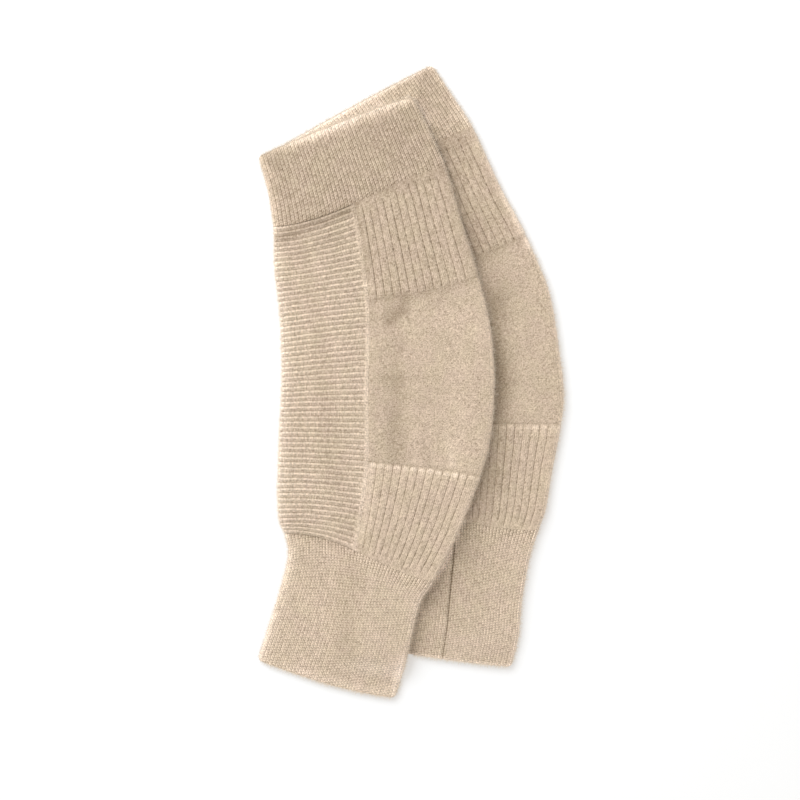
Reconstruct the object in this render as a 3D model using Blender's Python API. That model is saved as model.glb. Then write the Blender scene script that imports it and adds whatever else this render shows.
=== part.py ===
"""A pair of knitted knee warmers laid flat, one lying on the other. Sizes are in millimetres until the
meshes are made. Each warmer is a flattened tube of six knitted pieces: a band, a ridged panel round its back
fold, three panels down its front fold and a cuff."""

import math
from collections import namedtuple

import bmesh
import bpy
import numpy as np

MM = 0.001
WALL = 2.0  # knitted cloth
FOLD_RADIUS = 2.9  # outside of the rounded folds at the tube's two sides
MID_HEIGHT = 5.0  # of the flattened tube away from its folds
PUFF_REACH = 16.0  # how far a fold's extra height reaches inwards
SEAM_GAP = 0.35
LAP_CLEARANCE = 0.3  # between the top warmer's underside and the under warmer's highest plain part
LAP_NEAR, LAP_FAR = 4.0, 25.0  # the top warmer climbs between these distances from the under warmer's edge

WIDE_RIBS = 13  # from the side seam to the front fold
WIDE_GROOVE, WIDE_CREST, WIDE_SHOULDER = -0.55, 0.45, 0.27
FINE_RIBS = 44  # across one side of a band or cuff
FINE_GROOVE, FINE_CREST = -0.25, 0.3
# The ribs that go on round a fold, as shares of its half turn
WIDE_FOLD = ((0.0, WIDE_GROOVE), (0.14, WIDE_CREST), (0.42, WIDE_CREST), (0.58, WIDE_GROOVE))
FINE_FOLD = ((0.0, FINE_GROOVE), (0.2, FINE_CREST), (0.4, FINE_GROOVE), (0.6, FINE_CREST))
RIDGES = 62
RIDGE_GROOVE, RIDGE_CREST = -0.35, 0.4
BORDER = 3.4  # plain wales between the ridges and the side seam
BORDER_CREST = 0.5
RIDGE_FADE = 0.15, 0.5  # the ridges fade in between these shares of the back fold's half turn
TOP_BELLY, UNDER_BELLY = 1.1, 0.5  # soft fullness of the knee panels
BELLY_REACH = 42.0
ROW_STEP = {"fine": 22.0, "wide": 15.0, "plain": 12.0, "ridged": 15.0}  # between rows of points
HALF_WIDTH = 65.0  # of a typical row, from a fold to the side seam

# Round a tube, a place is a number: 0 to 1 from the back fold to the side seam on the upper side, 1 to 2
# on to the front fold, 2 to 3 round the front fold, 3 to 4 back to the side seam on the lower side, 4 to 5
# on to the back fold and 5 to 6 round the back fold, which is 0 again.
UPPER_BACK, UPPER_FRONT, FRONT_FOLD, LOWER_FRONT, LOWER_BACK, BACK_FOLD = range(6)
PLACES = 6
STEPS = (6, 7, 4, 6, 6, 4)  # plain parts of the wall, for each of those sides
NEAR_STEP = 0.3  # the least share of a step that is left beside a piece's end

# Each row crosses a warmer from its back fold to its front fold: along, its distance down the warmer, then
# its two ends, how far it bows off the straight near each end, and its share that lies behind the side seam.
Row = namedtuple("Row", "along back_x back_y front_x front_y back_bow front_bow split")

TOP_WARMER = (
    Row(0.0, -113.2, 169.9, 1.5, 215.2, 0.8, 2.2, 0.460),
    Row(25.5, -107.2, 145.9, 13.5, 189.4, -3.8, 3.0, 0.460),
    Row(53.9, -102.8, 118.1, 25.5, 162.4, -10.5, 3.8, 0.460),
    Row(86.9, -102.0, 87.4, 37.5, 121.9, -6.0, -3.0, 0.465),
    Row(122.9, -98.2, 53.6, 50.2, 79.9, 0.0, -7.5, 0.444),
    Row(154.1, -96.8, 24.4, 59.2, 42.4, 0.8, -2.2, 0.420),
    Row(186.6, -96.8, -5.6, 62.2, -0.4, 1.5, 0.0, 0.406),
    Row(216.2, -98.2, -32.6, 59.2, -40.1, 2.2, 2.2, 0.420),
    Row(239.4, -99.0, -54.4, 51.8, -67.9, 3.0, 3.0, 0.443),
    Row(271.2, -99.8, -85.1, 39.0, -101.6, 6.0, 0.0, 0.461),
    Row(290.8, -98.2, -103.1, 28.5, -124.9, 8.2, -1.5, 0.463),
    Row(303.1, -93.5, -111.6, 16.5, -147.4, 10.5, -3.0, 0.470),
    Row(320.5, -90.3, -127.6, 8.2, -161.6, 6.8, -3.0, 0.480),
    Row(350.5, -98.2, -157.9, 0.8, -190.1, 1.5, -3.5, 0.500),
    Row(378.5, -107.2, -185.6, -6.0, -212.6, -0.5, -4.0, 0.500),
    Row(399.4, -113.2, -205.1, -12.8, -234.4, -3.6, -4.4, 0.500),
)
UNDER_WARMER = (
    Row(0.0, -95.8, 178.8, 15.8, 238.9, 0.8, 1.2, 0.490),
    Row(24.8, -81.8, 158.6, 32.2, 215.6, -2.2, 3.0, 0.480),
    Row(50.6, -75.0, 133.9, 46.5, 193.1, -7.5, 3.0, 0.460),
    Row(87.3, -66.8, 101.6, 66.8, 147.4, -4.5, -2.2, 0.465),
    Row(124.7, -57.8, 66.4, 86.2, 110.6, 0.0, -6.0, 0.444),
    Row(159.1, -51.0, 34.9, 102.8, 70.9, 0.8, -2.2, 0.420),
    Row(193.7, -45.8, 3.4, 110.2, 25.9, 1.5, 0.0, 0.406),
    Row(218.8, -42.0, -19.1, 113.2, -7.9, 2.2, 2.2, 0.420),
    Row(237.7, -39.0, -37.1, 111.0, -29.6, 3.0, 3.0, 0.443),
    Row(268.6, -33.8, -65.6, 103.5, -67.1, 5.2, -1.5, 0.461),
    Row(289.8, -30.0, -85.1, 99.0, -93.4, 6.0, -3.8, 0.463),
    Row(302.1, -25.5, -95.6, 93.0, -108.4, 6.0, -5.2, 0.470),
    Row(322.3, -21.0, -115.1, 87.8, -128.6, 3.0, -3.8, 0.490),
    Row(350.3, -21.8, -142.1, 83.2, -160.1, 0.0, -3.0, 0.500),
    Row(379.0, -25.5, -170.6, 80.2, -188.6, -1.2, -2.4, 0.500),
    Row(405.3, -27.8, -197.6, 75.0, -211.1, -1.5, -1.6, 0.500),
)
# The rows that the seams across a warmer follow, and the knee's middle
BAND_END, THIGH_END, KNEE_MIDDLE, KNEE_END, CALF_END, HEM = 2, 4, 6, 8, 11, 15

# Soft troughs in the upper side of the top warmer: from one point to another, half width and depth.
Crease = namedtuple("Crease", "x0 y0 x1 y1 half_width depth")
CREASES = (
    Crease(-17.0, 40.0, -12.0, -52.0, 7.0, 1.3),
    Crease(-18.0, 55.0, -14.0, 48.0, 4.0, 0.5),
    Crease(-8.0, 5.0, 6.0, 3.0, 2.5, 0.4),
)

# A piece: where it begins and ends along its warmer, the places where it begins and ends round it, its knit.
Piece = namedtuple("Piece", "name first last start end knit rows")


def between(rows, along):
    """The row at a distance down a warmer, on a smooth curve through the table's rows."""
    last = len(rows) - 1
    i = max(0, min(last - 1, sum(1 for r in rows if r.along <= along) - 1))
    a, b = rows[i], rows[i + 1]
    before, after = rows[max(0, i - 1)], rows[min(last, i + 2)]
    span = b.along - a.along
    t = (along - a.along) / span
    out = []
    for k in range(1, len(a)):
        slope_a = (b[k] - before[k]) / (b.along - before.along) * span
        slope_b = (after[k] - a[k]) / (after.along - a.along) * span
        out.append(
            a[k] * (1 + t * t * (2 * t - 3))
            + b[k] * t * t * (3 - 2 * t)
            + slope_a * t * (1 - t) ** 2
            + slope_b * t * t * (t - 1)
        )
    return Row(along, *out)


def smooth(t):
    t = max(0.0, min(1.0, t))
    return t * t * (3 - 2 * t)


def across(row, distance):
    """The point on a row at a distance from its back end."""
    width = math.hypot(row.front_x - row.back_x, row.front_y - row.back_y)
    ux, uy = (row.front_x - row.back_x) / width, (row.front_y - row.back_y) / width
    f = distance / width
    bow = 4 * f * (1 - f) * (row.back_bow * (1 - f) + row.front_bow * f)
    return row.back_x + ux * distance - uy * bow, row.back_y + uy * distance + ux * bow


def lap_height(x, y):
    """How high the top warmer's underside lies where it passes over the under warmer."""
    edge_x = float(np.interp(-y, [-r.back_y for r in UNDER_WARMER], [r.back_x for r in UNDER_WARMER]))
    hem = UNDER_WARMER[HEM]
    hem_y = hem.back_y + (hem.front_y - hem.back_y) * (x - hem.back_x) / (hem.front_x - hem.back_x)
    beside, below = x - edge_x, y - (hem_y - abs(hem.back_bow))
    reach = LAP_FAR - LAP_NEAR
    shares = [smooth((d + LAP_FAR) / reach) for d in (beside, below)]
    return (2 * FOLD_RADIUS + LAP_CLEARANCE) * shares[0] * shares[1]


def crease_depth(x, y):
    total = 0.0
    for c in CREASES:
        dx, dy = c.x1 - c.x0, c.y1 - c.y0
        t = max(0.0, min(1.0, ((x - c.x0) * dx + (y - c.y0) * dy) / (dx * dx + dy * dy)))
        off = math.hypot(x - c.x0 - t * dx, y - c.y0 - t * dy)
        total += c.depth * math.exp(-((off / c.half_width) ** 2))
    return total


def wall_point(rows, lapped, along, place, out):
    """A point of a warmer's wall: out is its distance outside the wall's plain outer face."""
    row = between(rows, along)
    width = math.hypot(row.front_x - row.back_x, row.front_y - row.back_y)
    side, t = math.floor(place) % PLACES, place % 1
    split = FOLD_RADIUS + (width - 2 * FOLD_RADIUS) * row.split
    ends = {
        UPPER_BACK: (FOLD_RADIUS, split),
        UPPER_FRONT: (split, width - FOLD_RADIUS),
        LOWER_FRONT: (width - FOLD_RADIUS, split),
        LOWER_BACK: (split, FOLD_RADIUS),
    }
    if side in ends:
        distance = ends[side][0] + (ends[side][1] - ends[side][0]) * t
    else:
        turn = math.pi * t
        reach = (FOLD_RADIUS + out) * math.sin(turn)
        if side == FRONT_FOLD:
            distance = width - FOLD_RADIUS + reach
        else:
            distance = FOLD_RADIUS - reach
            turn = math.pi - turn
    x, y = across(row, distance)
    if side in (UPPER_BACK, UPPER_FRONT):
        inward = min(distance, width - distance) - FOLD_RADIUS
        height = MID_HEIGHT + (2 * FOLD_RADIUS - MID_HEIGHT) * (1 - smooth(inward / PUFF_REACH))
        from_knee = along - rows[KNEE_MIDDLE].along
        fullness = math.exp(-((from_knee / BELLY_REACH) ** 2)) * smooth(inward / BELLY_REACH)
        fullness *= 1.0 if side == UPPER_FRONT else t
        height += (TOP_BELLY if lapped else UNDER_BELLY) * fullness
        if lapped:
            height -= crease_depth(x, y) * smooth(inward / PUFF_REACH)
        z = height + out
    elif side in (LOWER_FRONT, LOWER_BACK):
        z = -out
    else:
        z = FOLD_RADIUS + (FOLD_RADIUS + out) * math.cos(turn)
    return x, y, z + (lap_height(x, y) if lapped else 0.0)


def spread(first, last, count):
    return [first + (last - first) * i / count for i in range(count + 1)]


def plain_places(start, end):
    """Places from start to end, in even steps on each side of the tube."""
    places = {start, end}
    for side in range(math.floor(start), math.ceil(end)):
        count = STEPS[side % PLACES]
        near = NEAR_STEP / count
        places |= {place for place in spread(side, side + 1, count) if start + near < place < end - near}
    return sorted(places)


def rib_points(piece, covered):
    """Places and heights of the ribs of a warmer's upper side and folds, without those that are covered."""
    if piece.knit == "wide":
        profile = ((0.0, WIDE_GROOVE), (WIDE_SHOULDER, WIDE_CREST), (1 - WIDE_SHOULDER, WIDE_CREST))
        ribs = [(1 + (k + share) / WIDE_RIBS, height) for k in range(WIDE_RIBS) for share, height in profile]
        ribs += [(2 + share, height) for share, height in WIDE_FOLD]
    else:
        profile = ((0.0, FINE_GROOVE), (0.5, FINE_CREST))
        behind = round(FINE_RIBS * piece.rows[BAND_END].split)
        ribs = [(-share, height) for share, height in FINE_FOLD]
        for side, count in ((0, behind), (1, FINE_RIBS - behind)):
            ribs += [(side + (k + share) / count, height) for k in range(count) for share, height in profile]
        ribs += [(2 + share, height) for share, height in FINE_FOLD]
    return [(place, height) for place, height in ribs if place > covered]


def relief_columns(piece, covered):
    """The places round a piece's outer face, with the height of its knit at each."""
    if piece.knit == "plain":
        return [(place, 0.0) for place in plain_places(piece.start, piece.end)]
    ribs = rib_points(piece, covered)
    first, last = min(ribs)[0], max(ribs)[0]
    columns = {}
    for place in plain_places(piece.start, piece.end):
        from_back_fold = (place + 1) % PLACES - 1
        if place in (piece.start, piece.end) or not first <= from_back_fold <= last:
            columns[place] = 0.0
    for turn in (0, PLACES):
        for place, height in ribs:
            if piece.start < place + turn < piece.end:
                columns[place + turn] = height
    return sorted(columns.items())


def ridge_height(piece, along, place):
    """Height of the crosswise ridges, which fade out under the back fold."""
    phase = (along - piece.first) / (piece.last - piece.first) * RIDGES
    shape = 1 - 4 * abs(phase % 1 - 0.5)
    middle, swing = (RIDGE_CREST + RIDGE_GROOVE) / 2, (RIDGE_CREST - RIDGE_GROOVE) / 2
    low, high = RIDGE_FADE
    fade = smooth((place - BACK_FOLD - low) / (high - low))
    return (middle + swing * shape) * fade


def weave(a, b):
    """Triangles between two lines of points. A line is (parameter, vertex) pairs in order."""
    faces, i, j = [], 0, 0
    while i < len(a) - 1 or j < len(b) - 1:
        if j == len(b) - 1 or (i < len(a) - 1 and a[i + 1][0] <= b[j + 1][0]):
            faces.append((a[i][1], a[i + 1][1], b[j][1]))
            i += 1
        else:
            faces.append((a[i][1], b[j + 1][1], b[j][1]))
            j += 1
    return faces


def knitted(piece, lapped, covered):
    """The closed mesh of one piece: an outer and an inner face, woven together all round their rims."""
    first, last = piece.first, piece.last
    coarse = spread(first, last, max(2, round((last - first) / ROW_STEP[piece.knit])))
    vertices, lines = [], []

    def line(place, levels, height):
        made = []
        for along in levels:
            made.append((along, len(vertices)))
            vertices.append(wall_point(piece.rows, lapped, along, place, height(along, place)))
        lines.append((place, made))

    if piece.knit == "ridged":
        fine = spread(first, last, 2 * RIDGES)
        border = piece.end - BORDER / HALF_WIDTH
        for place in plain_places(piece.start, border):
            if lapped and place > BACK_FOLD:
                line(place, fine, lambda along, place: ridge_height(piece, along, place))
            else:
                line(place, coarse, lambda *_: 0.0)
        line((border + piece.end) / 2, coarse, lambda *_: BORDER_CREST if lapped else 0.0)
        line(piece.end, coarse, lambda *_: 0.0)
    else:
        for place, height in relief_columns(piece, covered):
            line(place, coarse, lambda *_, height=height: height)
    outer = len(lines)
    for place in reversed(plain_places(piece.start, piece.end)):
        line(place, coarse, lambda *_: -WALL)

    faces = []
    for i in range(len(lines)):
        faces += weave(lines[i][1], lines[(i + 1) % len(lines)][1])
    for end in (0, -1):
        rim_out = [(place, made[end][1]) for place, made in lines[:outer]]
        rim_in = [(place, made[end][1]) for place, made in reversed(lines[outer:])]
        faces += weave(rim_out, rim_in)
    mesh = bpy.data.meshes.new(piece.name)
    mesh.from_pydata([(x * MM, y * MM, z * MM) for x, y, z in vertices], [], faces)
    shape = bmesh.new()
    shape.from_mesh(mesh)
    bmesh.ops.recalc_face_normals(shape, faces=shape.faces)
    shape.to_mesh(mesh)
    shape.free()
    mesh.polygons.foreach_set("use_smooth", [True] * len(mesh.polygons))
    return mesh


def pieces(prefix, rows, seam_above):
    """The six pieces of a warmer. A band or cuff is a strip whose ends meet at the side seam, on the upper
    side when seam_above is true."""
    half = SEAM_GAP / 2
    band, thigh, knee, calf, hem = (rows[i].along for i in (BAND_END, THIGH_END, KNEE_END, CALF_END, HEM))
    side = half / HALF_WIDTH
    front = UPPER_FRONT + side, LOWER_BACK - side
    back = LOWER_BACK + side, PLACES + UPPER_FRONT - side
    ring = (front[0], back[1]) if seam_above else (back[0], PLACES + front[1])
    return (
        Piece(prefix + "_band", 0.0, band - half, *ring, "fine", rows),
        Piece(prefix + "_ridged_panel", band + half, calf - half, *back, "ridged", rows),
        Piece(prefix + "_thigh_rib", band + half, thigh - half, *front, "wide", rows),
        Piece(prefix + "_knee_panel", thigh + half, knee - half, *front, "plain", rows),
        Piece(prefix + "_calf_rib", knee + half, calf - half, *front, "wide", rows),
        Piece(prefix + "_cuff", calf + half, hem, *ring, "fine", rows),
    )


def wool(name, colour):
    material = bpy.data.materials.new(name)
    material.use_nodes = True
    shader = material.node_tree.nodes["Principled BSDF"]
    shader.inputs["Base Color"].default_value = (*colour, 1.0)
    shader.inputs["Roughness"].default_value = 0.95
    shader.inputs["Metallic"].default_value = 0.0
    material.diffuse_color = (*colour, 1.0)
    return material


for thing in list(bpy.data.objects):
    bpy.data.objects.remove(thing, do_unlink=True)

collection = bpy.data.collections.new("knee_warmers")
bpy.context.scene.collection.children.link(collection)
COLOURS = {
    "band": (0.50, 0.40, 0.31),
    "ridged_panel": (0.60, 0.49, 0.38),
    "thigh_rib": (0.58, 0.47, 0.36),
    "knee_panel": (0.62, 0.51, 0.39),
    "calf_rib": (0.60, 0.49, 0.38),
    "cuff": (0.60, 0.50, 0.39),
}
# The place up to which the top warmer covers each of the under warmer's pieces
NOWHERE = -1.0
COVERED = {
    "band": 0.0,
    "ridged_panel": 1.0,
    "thigh_rib": 1.3,
    "knee_panel": 1.3,
    "calf_rib": 1.05,
    "cuff": 0.55,
}
for prefix, rows, lapped in (("top_warmer", TOP_WARMER, True), ("under_warmer", UNDER_WARMER, False)):
    for piece in pieces(prefix, rows, not lapped):
        kind = piece.name.removeprefix(prefix + "_")
        made = bpy.data.objects.new(piece.name, knitted(piece, lapped, NOWHERE if lapped else COVERED[kind]))
        made.data.materials.append(wool(piece.name + "_wool", COLOURS[kind]))
        collection.objects.link(made)
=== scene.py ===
import math

import bmesh
import bpy
import numpy as np
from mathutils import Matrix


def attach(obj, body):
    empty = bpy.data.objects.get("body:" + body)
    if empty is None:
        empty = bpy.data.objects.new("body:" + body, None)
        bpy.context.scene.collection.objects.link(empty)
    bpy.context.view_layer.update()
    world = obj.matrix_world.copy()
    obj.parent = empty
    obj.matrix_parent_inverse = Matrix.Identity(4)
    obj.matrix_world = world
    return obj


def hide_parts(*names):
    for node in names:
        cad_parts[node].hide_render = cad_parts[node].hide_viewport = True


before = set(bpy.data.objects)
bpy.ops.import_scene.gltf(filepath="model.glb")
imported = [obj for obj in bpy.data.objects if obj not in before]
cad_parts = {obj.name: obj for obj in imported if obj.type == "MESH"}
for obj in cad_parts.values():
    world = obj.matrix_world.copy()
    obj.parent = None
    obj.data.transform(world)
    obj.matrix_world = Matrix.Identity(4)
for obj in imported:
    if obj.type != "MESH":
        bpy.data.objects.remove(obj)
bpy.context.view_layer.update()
mm = 0.001

# Every warmer is a table of rows across it, from the back fold to the front fold: distance down the warmer,
# the two ends, how far the row bows near each end, and the share of it behind the side seam.
topRows = np.array([
    (0.0, -114.2, 170.6, 1.5, 215.2, 0.8, 2.2, 0.460),
    (25.5, -107.2, 145.9, 13.5, 189.4, -3.8, 3.0, 0.460),
    (53.9, -102.8, 118.1, 25.5, 162.4, -10.5, 3.8, 0.460),
    (86.9, -102.0, 87.4, 37.5, 121.9, -6.0, -3.0, 0.465),
    (122.9, -98.2, 53.6, 50.2, 79.9, 0.0, -7.5, 0.444),
    (154.1, -96.8, 24.4, 59.2, 42.4, 0.8, -2.2, 0.420),
    (186.6, -96.8, -5.6, 62.2, -0.4, 1.5, 0.0, 0.406),
    (216.2, -98.2, -32.6, 59.2, -40.1, 2.2, 2.2, 0.420),
    (239.4, -99.0, -54.4, 51.8, -67.9, 3.0, 3.0, 0.443),
    (271.2, -99.8, -85.1, 39.0, -101.6, 6.0, 0.0, 0.461),
    (290.8, -98.2, -103.1, 28.5, -124.9, 8.2, -1.5, 0.463),
    (303.1, -94.3, -111.6, 16.5, -147.4, 10.5, -3.0, 0.470),
    (320.5, -91.8, -127.6, 7.4, -161.6, 6.8, -3.0, 0.480),
    (350.5, -99.2, -157.9, -0.2, -190.1, 1.5, -3.5, 0.500),
    (378.5, -108.0, -186.0, -5.4, -212.6, -0.5, -4.0, 0.500),
    (399.4, -114.4, -206.2, -12.2, -234.4, -2.6, -4.2, 0.500),
])
underRows = np.array([
    (0.0, -95.8, 178.8, 15.8, 238.9, 0.8, 1.2, 0.490),
    (24.8, -81.8, 158.6, 31.0, 215.6, -2.2, 3.0, 0.480),
    (50.6, -75.0, 133.9, 45.4, 193.1, -7.5, 3.0, 0.460),
    (87.3, -66.8, 101.6, 66.8, 147.4, -4.5, -2.2, 0.465),
    (124.7, -57.8, 66.4, 86.2, 110.6, 0.0, -6.0, 0.444),
    (159.1, -51.0, 34.9, 102.8, 70.9, 0.8, -2.2, 0.420),
    (193.7, -45.8, 3.4, 110.8, 25.9, 1.5, 0.0, 0.406),
    (218.8, -42.0, -19.1, 114.4, -7.9, 2.2, 2.2, 0.420),
    (237.7, -39.0, -37.1, 112.2, -29.6, 3.0, 3.0, 0.443),
    (268.6, -33.8, -65.6, 104.9, -67.1, 5.2, -1.5, 0.461),
    (289.8, -30.0, -85.1, 100.5, -93.4, 6.0, -3.8, 0.463),
    (302.1, -25.5, -95.6, 95.4, -108.4, 6.0, -5.2, 0.470),
    (322.3, -21.0, -115.1, 89.0, -128.6, 3.0, -3.8, 0.484),
    (350.3, -21.8, -142.1, 83.2, -160.1, 0.0, -3.0, 0.492),
    (379.0, -25.5, -170.6, 80.2, -188.6, -1.2, -2.4, 0.500),
    (405.3, -27.8, -197.6, 75.0, -211.1, -0.4, -1.6, 0.500),
])
bandEnd, thighEnd, kneeMiddle, kneeEnd, calfEnd, hemRow = 2, 4, 6, 8, 11, 15  # rows that the seams follow

tube = {
    "wall": 1.5,
    "foldRadius": 2.9,
    "midHeight": 5.0,
    "puffReach": 16.0,  # how far a fold's extra height reaches inwards
    "seamGap": 0.04,
    "seamHeight": 0.36,  # of the smooth wales on both sides of the side seam
    "seamReach": 3.5,
    "sideWidth": 65.0,  # roughly that of one side, to turn a gap in mm into a share of it
    "farAway": 99.0,  # stands for the distance to the side seam on the lower side
    "lapHeight": 6.1,  # the top warmer's underside where it lies on the under warmer
    "lapFar": (25.0, 42.0),  # how far beside the under warmer it starts to climb, at least and at most
    "lapRoom": 0.65,  # the share of the free width that the climb takes between those
    "lapOn": 4.0,  # how far before the under warmer's edge it is up
    "bellyReach": 42.0,
    "hemCorner": 1.8,  # radius of a hem's corners
    "hemReach": 8.0,
    "hemFlat": {"folds": 0.3, "middle": 0.16, "lap": 0.14},  # shares by which each is lower at a hem
    "hemFlatReach": 26.0,
}

# Round a tube a place is a number: 0 to 1 from the back fold to the side seam on the upper side, 1 to 2 on
# to the front fold, 2 to 3 round it, 3 to 5 back on the lower side and 5 to 6 round the back fold.
warmers = {
    "top_warmer": {
        "rows": topRows,
        "lapped": True,
        "belly": 1.1,
        "seamAbove": False,
        "bandTone": 0.98,
        # strokes of painted shade and painted light on the wool: from x, y to x, y, half width, amount
        "strokes": [
            (-5, 60.5, -14.5, 46, 5, -0.25), (-20, 50, -10, 55, 6, -0.12),
            (-26, 65.5, 12, 69, 4, -0.06), (14, 60, 24, 64, 5, -0.07),
            (-10, 33, -9.5, 3, 6, -0.12), (-22, 5, 6, 4, 2.6, -0.13),
            (-10.5, -4, -9, -55, 6.5, -0.17), (-16, -20, -14, -56, 4, -0.06),
            (22, 50, 50, 41, 9, 0.05), (-4, 44, 14, 16, 7, 0.03),
            (36, 12, 31, -56, 12, 0.08), (40, -22, 32, -62, 7, 0.06),
            (-7, -206, -13, -232, 4, 0.2), (-91, -118, -101, -168, 3, -0.14),
            (-48, -40, -46, -104, 14, 0.035), (-2, -24, 20, -24, 8, 0.03),
            (2.5, -36, 3.5, -58, 2, 0.12), (8, -38.6, 8.5, -58.1, 1.8, -0.05),
            (14, -36, 15.5, -58, 1.8, 0.08), (26, -38, 31, -60, 3, 0.11),
            (-12, -58, 2, -61, 4, 0.06), (-19.5, 176, 5, 200, 10, -0.05),
            (-97, 110, -44, 131, 5, -0.3), (-84, 98, -54, 110, 11, -0.07),
            (-88, 132, -96, 134, 6, 0.05), (-38, 124, -33, 78, 3, -0.1),
            (-31, 34, -31, -50, 4, 0.08), (-31, -64, -35, -108, 5, 0.08),
            (-36, -108, -47, -124, 4, 0.13), (24, 160, 50, 84, 5, -0.09),
            (-84, -128, -60, -160, 12, -0.035), (-30, -190, -16, -222, 12, 0.03),
            (-93, 50, -94, -92, 8, 0.05), (-86, -70, -54, -88, 14, 0.05),
            (-30, 142, 27, 158, 4, -0.1), (-98, 173, -80, 180, 4, -0.14),
            (-36, 199, -8, 209, 4, -0.1), (10, 196, 20, 170, 6, -0.05),
            (32, 50, 40, 30, 8, 0.05), (26, 96, 36, 78, 5, 0.07),
            (-31, 74, -24, 70, 4, 0.12), (-50, 126, -42, 120, 4, -0.06),
            (-58, 112, -56, 84, 10, -0.05), (-81, 48, -81, 4, 8, 0.035),
            (-49, -121, -36, -129, 4, 0.1), (-29, -72, -29, -92, 6, 0.06),
            (44, -70, 50, -72, 4, -0.1),
        ],
        # soft troughs: from x, y to x, y, half width, depth
        "creases": [
            (-14, 20, -9.5, -60, 8, 1.1), (-14.5, 56, -15.5, 46, 5, 0.5),
            (-8, 5, 6, 3, 2.5, 0.4), (4, -46, 6, -66, 2.2, 0.35),
            (16, -42, 17, -64, 2, 0.3), (30, -40, 27, -60, 2.4, 0.25),
            (-20, -5, 20, 18, 5, 0.2), (-5, -30, 38, 2, 6, 0.2),
            (6, -12, 48, 26, 5, 0.15), (-70, 100, -20, 118, 5, 0.2),
            (-85, -115, -45, -128, 4, 0.3), (-60, -150, -20, -190, 7, 0.25),
        ],
    },
    "under_warmer": {
        "rows": underRows,
        "lapped": False,
        "belly": 0.5,
        "seamAbove": True,
        "bandTone": 1.11,
        # strokes of painted shade and painted light, as for the top warmer
        "strokes": [
            (66, 64, 70, 52, 6, -0.2), (70, 36, 72, 20, 6, 0.06),
            (76, 11, 77, 2, 7, -0.07), (50, 118, 64, 74, 9, -0.07),
            (7, 208, 13, 196, 4, 0.3), (34, 203, 42, 196, 5, 0.2),
            (44, 187, 67, 148, 3, 0.14), (72, 55, 77, 42, 5, 0.07),
            (58.5, 71, 63, 53, 3, -0.14), (40, 118, 50, 90, 4, -0.1),
            (-86, 182, -24, 211, 7, 0.24), (68, 143, 88, 104, 3, 0.34),
            (22, -131, 27, -136, 4, 0.1), (8, -160, 24, -166, 8, -0.12),
            (18, 198, 36, 188, 10, 0.04), (44, 150, 66, 112, 12, 0.06),
            (84, 8, 84, -20, 9, 0.04), (10, -150, 22, -150, 12, -0.15),
            (42, -130, 48, -158, 9, -0.05), (10, 170, 43, 186, 5, -0.13),
            (74, -34, 63, -72, 9, -0.12), (62, -74, 42, -120, 11, -0.12),
            (30, -135, 60, -130, 14, -0.05), (84, 46, 92, -30, 8, 0.03),
            (34, -200, 68, -184, 11, 0.05),
        ],
        "creases": [
            (62, 55, 98, 78, 6, 0.3), (66, 10, 104, 36, 7, 0.35),
            (66, -20, 100, 4, 5, 0.25), (60, -120, 78, -190, 6, 0.25),
        ],
    },
}


def smooth(t):
    t = np.clip(t, 0.0, 1.0)
    return t * t * (3 - 2 * t)


def softNoise(x, y, size, seed):  # gentle unevenness from -1 to 1, with bumps of about that size
    draw = np.random.default_rng(seed)
    total = 0.0
    for _ in range(7):
        angle, turn = draw.uniform(0, 2 * math.pi, 2)
        pitch = size * draw.uniform(1.4, 3.0)
        total = total + np.sin((x * math.cos(angle) + y * math.sin(angle)) * 2 * math.pi / pitch + turn)
    return total / 3.6


def rowsAt(rows, along):  # a smooth curve through the table's rows
    i = np.clip(np.searchsorted(rows[:, 0], along, side="right") - 1, 0, len(rows) - 2)
    a, b = rows[i], rows[i + 1]
    before, after = rows[np.maximum(i - 1, 0)], rows[np.minimum(i + 2, len(rows) - 1)]
    span = (b - a)[:, :1]
    t = (along[:, None] - a[:, :1]) / span
    slopeA = (b - before) / (b - before)[:, :1] * span
    slopeB = (after - a) / (after - a)[:, :1] * span
    curve = a * (1 + t * t * (2 * t - 3)) + b * t * t * (3 - 2 * t)
    return curve + slopeA * t * (1 - t) ** 2 + slopeB * t * t * (t - 1)


def lapShares(x, y):  # how far the top warmer has climbed onto the under warmer, across it and along it
    edgeX = np.interp(-y, -underRows[:, 2], underRows[:, 1])
    hem = underRows[hemRow]
    hemY = hem[2] + (hem[4] - hem[2]) * (x - hem[1]) / (hem[3] - hem[1])
    room = edgeX - np.interp(-y, -topRows[:, 2], topRows[:, 1])
    far = np.clip(tube["lapRoom"] * room, *tube["lapFar"])
    least = tube["lapFar"][0]
    climb = smooth((x - edgeX + far) / (far - tube["lapOn"]))
    return climb, smooth((y - hemY + least) / (least - tube["lapOn"]))


def strokeSum(strokes, x, y):  # creases or shades, each strongest along its own line
    total = np.zeros_like(x)
    for x0, y0, x1, y1, halfWidth, depth in strokes:
        dx, dy = x1 - x0, y1 - y0
        t = np.clip(((x - x0) * dx + (y - y0) * dy) / (dx * dx + dy * dy), 0, 1)
        off = np.hypot(x - x0 - t * dx, y - y0 - t * dy)
        total += depth * np.exp(-((off / halfWidth) ** 2))
    return total


def hemShares(warmer, along, reach):  # 1 at the first hem and 1 at the last, each fading over reach
    toFirst, toLast = along[:, None], warmer["rows"][hemRow, 0] - along[:, None]
    return np.exp(-((toFirst / reach) ** 2)), np.exp(-((toLast / reach) ** 2))


def nearHem(warmer, along):
    return sum(hemShares(warmer, along, tube["hemFlatReach"]))


def foldRadii(warmer, along):
    return tube["foldRadius"] * (1 - tube["hemFlat"]["folds"] * nearHem(warmer, along))


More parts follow.
